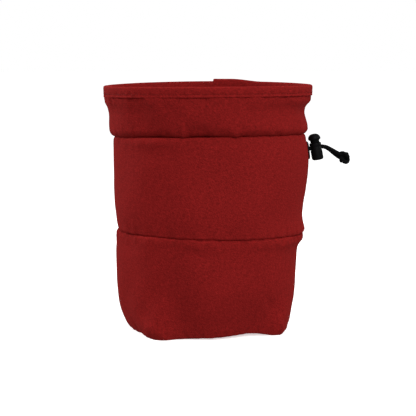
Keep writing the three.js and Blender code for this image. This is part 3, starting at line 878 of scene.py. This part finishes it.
def oval(width, depth, height):
    """One ring of a long round outline, two half circles joined by straight sides."""
    turn = whole_turn(OVAL_STEPS) + math.pi / OVAL_STEPS
    radius = width / 2
    straight = max(depth / 2 - radius, 0)
    y = radius * np.sin(turn) + straight * np.sign(np.sin(turn))
    return as_points(radius * np.cos(turn), y, height)


def oval_stack(name, rows):
    """A solid through oval rings, each given as its width, depth and height."""
    return add_rings(name, [oval(w, d, h) for w, d, h in rows], comes_round=False)


def cut_away(piece, tool):
    cutter = piece.modifiers.new("cut", "BOOLEAN")
    cutter.operation = "DIFFERENCE"
    cutter.object = tool
    cutter.solver = "EXACT"
    bpy.context.view_layer.objects.active = piece
    bpy.ops.object.modifier_apply(modifier="cut")
    bpy.data.objects.remove(tool)


def cord_room(low, high):
    """A long round-cornered block that clears the cord's way through the lock."""
    flat_y = ROOM_DEPTH / 2 - ROOM_CORNER
    flat_z = (high - low) / 2 - ROOM_CORNER
    turn = whole_turn(ROOM_STEPS) + math.pi / ROOM_STEPS
    y = np.sign(np.cos(turn)) * flat_y + ROOM_CORNER * np.cos(turn)
    z = np.sign(np.sin(turn)) * flat_z + ROOM_CORNER * np.sin(turn) + (low + high) / 2
    ends = [as_points(x, y, z) for x in (-BARREL_WIDTH, BARREL_WIDTH)]
    return add_rings("cord_room", ends, comes_round=False)


def place_on_cord(piece):
    """Leans a part of the lock and puts it in its place on the cord."""
    lean = Matrix.Rotation(-math.radians(LOCK_LEAN), 4, "Y")
    move = Matrix.Translation(Vector(((seat + [LOCK_OUT, 0, -LOCK_DROP]) * MM).tolist()))
    piece.data.transform(move @ lean)
    return piece


def soften_edges(piece, width):
    """Small rounded edges where two faces meet sharply."""
    bevel = piece.modifiers.new("edges", "BEVEL")
    bevel.width = width * MM
    bevel.segments = 2
    bevel.limit_method = "ANGLE"
    bevel.angle_limit = math.radians(SHARP_ANGLE)
    bpy.context.view_layer.objects.active = piece
    bpy.ops.object.modifier_apply(modifier="edges")
    for polygon in piece.data.polygons:
        polygon.use_smooth = True


def lock_barrel():
    """The lock's hollow barrel, with the hole for both strands through it."""
    rows = list(BARREL_FOOT) + [(inset, LOCK_HEIGHT - below) for inset, below in BARREL_TOP]
    outline = [(BARREL_WIDTH - 2 * i, BARREL_DEPTH - 2 * i, h) for i, h in rows]
    barrel = oval_stack("lock_barrel_shell", outline)
    bore_width = STEM_WIDTH + 2 * SLIDE_GAP
    bore_depth = STEM_DEPTH + 2 * SLIDE_GAP
    bore = [(bore_width, bore_depth, LOCK_FLOOR), (bore_width, bore_depth, LOCK_HEIGHT + BORE_PAST)]
    cut_away(barrel, oval_stack("bore", bore))
    cut_away(barrel, cord_room(ROOM_LOW, ROOM_HIGH))
    soften_edges(barrel, LOCK_EDGE)
    return place_on_cord(barrel)


def lock_button():
    """The lock's cap, with the stem that slides in the barrel."""
    foot = LOCK_HEIGHT + PRESS_GAP
    width = BARREL_WIDTH + 2 * CAP_OVERHANG
    depth = BARREL_DEPTH + 2 * CAP_OVERHANG
    rows = [(width - 2 * i, depth - 2 * i, foot + CAP_HEIGHT * share) for i, share in CAP_PROFILE]
    cap = oval_stack("lock_button_cap", rows)
    stem = oval_stack("stem", [
        (STEM_WIDTH - STEM_TAPER, STEM_DEPTH - STEM_TAPER, ROOM_LOW - STEM_FOOT),
        (STEM_WIDTH, STEM_DEPTH, ROOM_LOW - STEM_FOOT + STEM_TAPER_HEIGHT),
        (STEM_WIDTH, STEM_DEPTH, foot - STEM_FLARE_HEIGHT),
        (STEM_WIDTH + STEM_FLARE, STEM_DEPTH + STEM_FLARE, foot + STEM_IN_CAP),
    ])
    cut_away(stem, cord_room(ROOM_LOW, ROOM_HIGH + PRESS_TRAVEL))
    soften_edges(stem, LOCK_EDGE)
    return place_on_cord(join_pieces("lock_button_cap", [cap, stem]))


barrel = lock_barrel()
button = lock_button()

# The eyelet: a flanged ring that lies on the fabric, with a tube through it, given as the radius and the
# height above the fabric

EYELET_PROFILE = (
    (3.50, 0.45), (3.56, 0.72), (3.75, 0.92), (4.10, 1.02), (4.55, 1.02), (5.10, 0.92),
    (5.52, 0.72), (5.75, 0.46), (5.80, 0.20), (5.76, -0.10), (5.10, -0.16), (4.10, -0.16),
    (4.00, -0.40), (4.00, -1.60), (3.75, -1.70), (3.50, -1.60), (3.50, -0.60),
)
EYELET_STEPS = 72


def eyelet():
    """The eyelet's ring, bent to the fabric under it."""
    turn = whole_turn(EYELET_STEPS)
    reach = np.hypot(seat[0], seat[1])
    rings = []
    for radius, lift in EYELET_PROFILE:
        angle = EYELET_ANGLE + np.degrees(radius * np.cos(turn) / reach)
        up = up_at("middle", angle % 360, EYELET_HEIGHT + radius * np.sin(turn))
        push = cloth_push("middle", angle % 360, up)
        rings.append(panel_points("middle", angle, up, push + lift))
    return add_rings("eyelet_ring", rings, comes_round=True)


eyelet_ring = eyelet()

# The belt loop: webbing sewn down at both ends and standing off the fabric between them

LOOP_WIDTH = 20.0
LOOP_HEIGHT = 44.0
LOOP_TAB = 9.0
LOOP_GAP = 5.0
LOOP_THICK = 1.8
LOOP_TOP = LOWER_HEIGHT + MIDDLE_HEIGHT - 2.6
LOOP_SLOPE = 4.0
LOOP_SETTLE = 0.3
LOOP_BOW = 0.15
LOOP_STEPS = 12
LOOP_EDGE = 0.8
LOOP_EDGE_POINTS = 4
LOOP_FLAT_EDGE = 2.0
LOOP_FLAT_POINTS = 12

# Where the strip leaves its tab, before the tab's end, and how far it has lifted just past it

LOOP_LEAVES = 2.0
LOOP_PAST = 1.0
LOOP_LIFT = 0.9


def belt_loop():
    """A strip with rounded edges along a line that leaves the fabric and comes back."""
    foot = LOOP_TOP - LOOP_HEIGHT
    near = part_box("belt_loop")[0].y / MM
    far = near + LOOP_GAP - LOOP_SETTLE
    tab_end = foot + LOOP_TAB
    line = [
        (near, foot),
        (near, tab_end - LOOP_LEAVES),
        (near + LOOP_LIFT, tab_end + LOOP_PAST),
        (far, tab_end + LOOP_SLOPE + LOOP_PAST),
        (far + LOOP_BOW, (foot + LOOP_TOP) / 2),
    ]
    line += [(y, foot + LOOP_TOP - z) for y, z in reversed(line[:-1])]
    y, z = smooth_line(np.array(line), LOOP_STEPS).T
    slope = np.arctan2(np.gradient(y), np.gradient(z))
    half = LOOP_WIDTH / 2
    flat = half - LOOP_FLAT_EDGE
    one_edge = np.linspace(half - LOOP_EDGE, half, LOOP_EDGE_POINTS)
    across = np.concatenate([-one_edge[::-1], np.linspace(-flat, flat, LOOP_FLAT_POINTS), one_edge])
    into_edge = np.clip(np.abs(across) - half + LOOP_EDGE, 0, LOOP_EDGE) / LOOP_EDGE
    crown = LOOP_THICK / 2 * np.sqrt(np.clip(1 - into_edge**2, 0, 1))
    section_x = np.concatenate([across, across[-2:0:-1]])
    section_t = np.concatenate([crown, -crown[-2:0:-1]])
    rings = []
    for y_here, z_here, lean in zip(y, z, slope):
        y_out = y_here + LOOP_THICK / 2 + section_t * math.cos(lean)
        rings.append(as_points(section_x, y_out, z_here - section_t * math.sin(lean)))
    return add_rings("belt_webbing", rings, comes_round=False)


webbing = belt_loop()

# The bar tacks: their distances from the strip's end, the tab's end, the strip's sides and its face, and
# their zigzag and thread, with the thread's points and sides

TACK_OUTER = 2.2
TACK_INNER = 2.6
TACK_SIDE = 1.6
TACK_PROUD = 0.04
TACK_COUNT = 34
TACK_ZIGZAG = 0.85
TACK_THREAD = 0.2
TACK_STEPS = 4
TACK_SIDES = 6


def bartacks():
    """Rows of close zigzag stitches across both ends of the webbing."""
    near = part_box("belt_loop")[0].y / MM + LOOP_THICK + TACK_PROUD
    foot = LOOP_TOP - LOOP_HEIGHT
    reach = LOOP_WIDTH / 2 - TACK_SIDE
    zigzag = TACK_ZIGZAG * np.where(np.arange(TACK_COUNT) % 2 == 0, 1, -1)
    x = np.linspace(-reach, reach, TACK_COUNT)
    from_end = np.array([TACK_OUTER, LOOP_TAB - TACK_INNER])
    rows = []
    for level in (*(foot + from_end), *(LOOP_TOP - from_end)):
        line = smooth_line(as_points(x, near, level + zigzag), TACK_STEPS)
        rows.append(tube("bartack", line, TACK_THREAD, sides=TACK_SIDES))
    return join_pieces("belt_bartacks", rows)


tacks = bartacks()

# Materials: sizes are in metres, and a noise's ramp goes from its low to its high value

NOISE_LOW = 0.3
NOISE_HIGH = 0.7
WHITE = (1, 1, 1)

# The woven cloth's tone: what each unevenness adds to it, how dark or light a yarn of that tone is, and how
# often the streaks change per yarn in their two directions

TWILL_SHARE = 0.28
WEFT_SHARE = 0.16
FLECK_SHARE = 0.51
BROAD_SHARE = 0.05
YARN_TONES = ((0.38, 0.64), (0.50, 1.0), (0.62, 1.38))
TWILL_SCALES = (0.95, 0.16)
WEFT_SCALES = (0.22, 1.0)


def feed(node, inputs):
    """Sets a node's inputs, each to a plain value or to another node's output."""
    for key, value in inputs.items():
        if isinstance(value, bpy.types.NodeSocket):
            node.id_data.links.new(value, node.inputs[key])
        else:
            node.inputs[key].default_value = value


def new_material(name):
    material = bpy.data.materials.new(name)
    material.use_nodes = True
    tree = material.node_tree
    return material, tree, tree.nodes["Principled BSDF"]


def math_node(tree, operation, *values):
    node = tree.nodes.new("ShaderNodeMath")
    node.operation = operation
    feed(node, dict(enumerate(values)))
    return node.outputs[0]


def own_place(tree):
    """Where a point is on its own object, which stays the same in every pose."""
    return tree.nodes.new("ShaderNodeTexCoord").outputs["Object"]


def round_and_up(tree, place):
    """How far round the bag a place is, and how far up."""
    split = tree.nodes.new("ShaderNodeSeparateXYZ")
    feed(split, {0: place})
    x, y, z = split.outputs
    angle = math_node(tree, "ARCTAN2", y, x)
    return math_node(tree, "MULTIPLY", angle, BODY_WIDTH / 2 * MM), z


def noise(tree, vector, scale, detail=2.0):
    node = tree.nodes.new("ShaderNodeTexNoise")
    feed(node, {"Scale": scale, "Detail": detail, "Vector": vector})
    return node.outputs["Fac"]


def streaks(tree, first, second, scales, yarn):
    """A noise over two directions, stretched by their scales."""
    vector = tree.nodes.new("ShaderNodeCombineXYZ")
    for socket, value, scale in zip((0, 1), (first, second), scales):
        feed(vector, {socket: math_node(tree, "MULTIPLY", value, scale / yarn)})
    return noise(tree, vector.outputs[0], scale=1.0, detail=1.0)


def ramp(tree, value, stops):
    """Colours along a value, given as stops of position and colour."""
    node = tree.nodes.new("ShaderNodeValToRGB")
    feed(node, {0: value})
    band = node.color_ramp
    while len(band.elements) < len(stops):
        band.elements.new(0.5)
    for element, (position, colour) in zip(band.elements, stops):
        element.position = position
        element.color = (*colour, 1)
    return node.outputs[0]


def noise_ramp(tree, value, colour, dark, light):
    """A colour made dark to light along a noise."""
    return ramp(tree, value, ((NOISE_LOW, shade(colour, dark)), (NOISE_HIGH, shade(colour, light))))


def noise_roughness(tree, value, middle, spread):
    return noise_ramp(tree, value, WHITE, middle - spread, middle + spread)


def linear(red, green, blue):
    """A colour read from a screen, as light."""
    def one(value):
        share = value / 255
        return share / 12.92 if share <= 0.04045 else ((share + 0.055) / 1.055) ** 2.4
    return tuple(one(v) for v in (red, green, blue))


def shade(colour, by):
    return tuple(channel * by for channel in colour)


def bump(tree, height, strength, distance, over=None):
    """A relief that follows a height, over another relief where one is given."""
    node = tree.nodes.new("ShaderNodeBump")
    feed(node, {"Strength": strength, "Distance": distance, "Height": height})
    if over is not None:
        feed(node, {"Normal": over})
    return node.outputs[0]


def woven(name, colour, yarn, relief, roughness, sheen):
    """A plain woven cloth: yarns of uneven tone over and under each other."""
    material, tree, shader = new_material(name)
    place = own_place(tree)
    around, up = round_and_up(tree, place)
    turns = 2 * math.pi / yarn
    warp = math_node(tree, "SINE", math_node(tree, "MULTIPLY", around, turns))
    weft = math_node(tree, "SINE", math_node(tree, "MULTIPLY", up, turns))
    weave = math_node(tree, "MULTIPLY", warp, weft)
    falling = math_node(tree, "ADD", around, up)
    rising = math_node(tree, "SUBTRACT", around, up)
    twill = streaks(tree, falling, rising, TWILL_SCALES, yarn)
    weft_tone = streaks(tree, around, up, WEFT_SCALES, yarn)
    fleck = noise(tree, place, scale=1900.0)
    broad = noise(tree, place, scale=45.0, detail=3.0)
    tone = math_node(tree, "MULTIPLY", twill, TWILL_SHARE)
    for part, share in ((weft_tone, WEFT_SHARE), (fleck, FLECK_SHARE), (broad, BROAD_SHARE)):
        tone = math_node(tree, "ADD", tone, math_node(tree, "MULTIPLY", part, share))
    threads = bump(tree, weave, strength=0.40, distance=relief)
    feed(shader, {
        "Base Color": ramp(tree, tone, [(position, shade(colour, by)) for position, by in YARN_TONES]),
        "Normal": bump(tree, fleck, strength=0.45, distance=0.00025, over=threads),
        "Roughness": noise_roughness(tree, fleck, roughness, spread=0.06),
        "Specular IOR Level": 0.02,
        "Sheen Weight": sheen,
        "Sheen Roughness": 0.5,
        "Sheen Tint": (1.0, 0.06, 0.05, 1),
    })
    return material


def plain_thread(name, colour, roughness, grain):
    """Thread or cord: a fibrous surface with a little colour variation."""
    material, tree, shader = new_material(name)
    fine = noise(tree, own_place(tree), scale=grain, detail=3.0)
    feed(shader, {
        "Base Color": noise_ramp(tree, fine, colour, dark=0.7, light=1.4),
        "Normal": bump(tree, fine, strength=0.4, distance=0.00012),
        "Roughness": roughness,
        "Specular IOR Level": 0.05,
    })
    return material


def moulded(name, colour, roughness):
    """Moulded plastic: a fine grain in its gloss and relief."""
    material, tree, shader = new_material(name)
    place = own_place(tree)
    grain = noise(tree, place, scale=2400.0)
    smudge = noise(tree, place, scale=240.0, detail=3.0)
    feed(shader, {
        "Base Color": noise_ramp(tree, smudge, colour, dark=0.85, light=1.2),
        "Normal": bump(tree, grain, strength=0.12, distance=0.00006),
        "Roughness": noise_roughness(tree, smudge, roughness, spread=0.08),
        "Specular IOR Level": 0.06,
    })
    return material


RED = linear(124.5, 25.5, 24.5)
BLACK = linear(9, 9, 10)
WEBBING = linear(17, 17, 18)
red_cloth = woven("red_cloth", RED, yarn=0.00062, relief=0.00012, roughness=0.88, sheen=0.10)
red_thread = plain_thread("red_thread", shade(RED, 0.72), roughness=0.7, grain=5000.0)
black_cord = plain_thread("black_cord", BLACK, roughness=0.75, grain=4000.0)
black_webbing = woven("black_webbing", WEBBING, yarn=0.0013, relief=0.0006, roughness=0.8, sheen=0.0)
black_thread = plain_thread("black_thread", shade(WEBBING, 1.5), roughness=0.7, grain=5000.0)
black_plastic = moulded("black_plastic", BLACK, roughness=0.5)


def finish_piece(piece, material, slot, *nodes, body="bag"):
    """Gives a piece its material and its body, and hides the solids that it stands for; slot is not used.
    """
    piece.data.materials.clear()
    piece.data.materials.append(material)
    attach(piece, body)
    if nodes:
        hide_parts(*nodes)


RED_PANELS = (
    (lower, "lower_panel"),
    (middle, "middle_panel"),
    (collar, "collar"),
    (rim, "rim_band"),
    (base, "base_panel"),
)
for panel, node in RED_PANELS:
    finish_piece(panel, red_cloth, "red_fabric", node)
finish_piece(rim_stitches, red_thread, "red_fabric")
finish_piece(webbing, black_webbing, "black_webbing", "belt_loop")
finish_piece(tacks, black_thread, "black_webbing")
finish_piece(eyelet_ring, black_plastic, "black_plastic", "cord_eyelet")
finish_piece(strand_upper, black_cord, "black_cord", "drawcord_upper")
finish_piece(strand_lower, black_cord, "black_cord", "drawcord_lower")
finish_piece(knot, black_cord, "black_cord", "cord_knot")
finish_piece(barrel, black_plastic, "black_plastic", "lock_barrel")
finish_piece(button, black_plastic, "black_plastic", "lock_button", body="button")

# Floor and light: the floor's side in metres, its grey and its own glow

FLOOR_SIZE = 40.0
FLOOR_GREY = 0.92
FLOOR_GLOW = 0.62
floor_corners = np.array([[-1, -1, 0], [1, -1, 0], [1, 1, 0], [-1, 1, 0]]) * FLOOR_SIZE / 2 / MM
floor = add_mesh("floor", floor_corners, [[0, 1, 2, 3]], smooth=False)
floor_material, _, floor_shader = new_material("pale_floor")
feed(floor_shader, {
    "Base Color": (FLOOR_GREY, FLOOR_GREY, FLOOR_GREY, 1),
    "Roughness": 0.9,
    "Specular IOR Level": 0.1,
    "Emission Color": (*WHITE, 1),
    "Emission Strength": FLOOR_GLOW,
})
floor.data.materials.append(floor_material)
floor.visible_diffuse = False
floor.visible_glossy = False

# The backdrop is white, and the light that it gives changes from below to above

BACKDROP_LIGHT = ((0.0, 0.50), (0.45, 0.42), (0.55, 0.41), (1.0, 0.53))

world = bpy.data.worlds.new("studio")
world.use_nodes = True
sky = world.node_tree
backdrop = sky.nodes["Background"]
glow = sky.nodes.new("ShaderNodeBackground")
direction = sky.nodes.new("ShaderNodeSeparateXYZ")
either = sky.nodes.new("ShaderNodeMixShader")
feed(direction, {0: sky.nodes.new("ShaderNodeTexCoord").outputs["Generated"]})
upwards = math_node(sky, "MULTIPLY_ADD", direction.outputs[2], 0.5, 0.5)
glow_stops = [(position, shade(WHITE, by)) for position, by in BACKDROP_LIGHT]
feed(backdrop, {"Color": (*WHITE, 1)})
feed(glow, {"Color": ramp(sky, upwards, glow_stops)})
seen = sky.nodes.new("ShaderNodeLightPath").outputs["Is Camera Ray"]
feed(either, {0: seen, 1: glow.outputs[0], 2: backdrop.outputs[0]})
feed(sky.nodes["World Output"], {0: either.outputs[0]})
bpy.context.scene.world = world
bpy.context.scene.view_settings.view_transform = "Standard"


LIGHT_TARGET = (0, 0, 0.085)


def soft_light(name, place, size, power):
    """A square soft light that looks at the bag, in metres and watts."""
    data = bpy.data.lights.new(name, "AREA")
    data.shape = "SQUARE"
    data.size = size
    data.energy = power
    light = bpy.data.objects.new(name, data)
    light.location = place
    towards = Vector(LIGHT_TARGET) - light.location
    light.rotation_euler = towards.to_track_quat("-Z", "Y").to_euler()
    bpy.context.scene.collection.objects.link(light)


soft_light("key_light", (0.32, -1.20, 0.90), 0.8, 13.7)
soft_light("left_edge_light", (-1.22, 0.60, 0.62), 0.6, 15.0)
soft_light("right_edge_light", (1.30, 0.20, 0.62), 0.7, 5.0)
soft_light("top_light", (0.0, -0.30, 1.5), 0.8, 3.6)
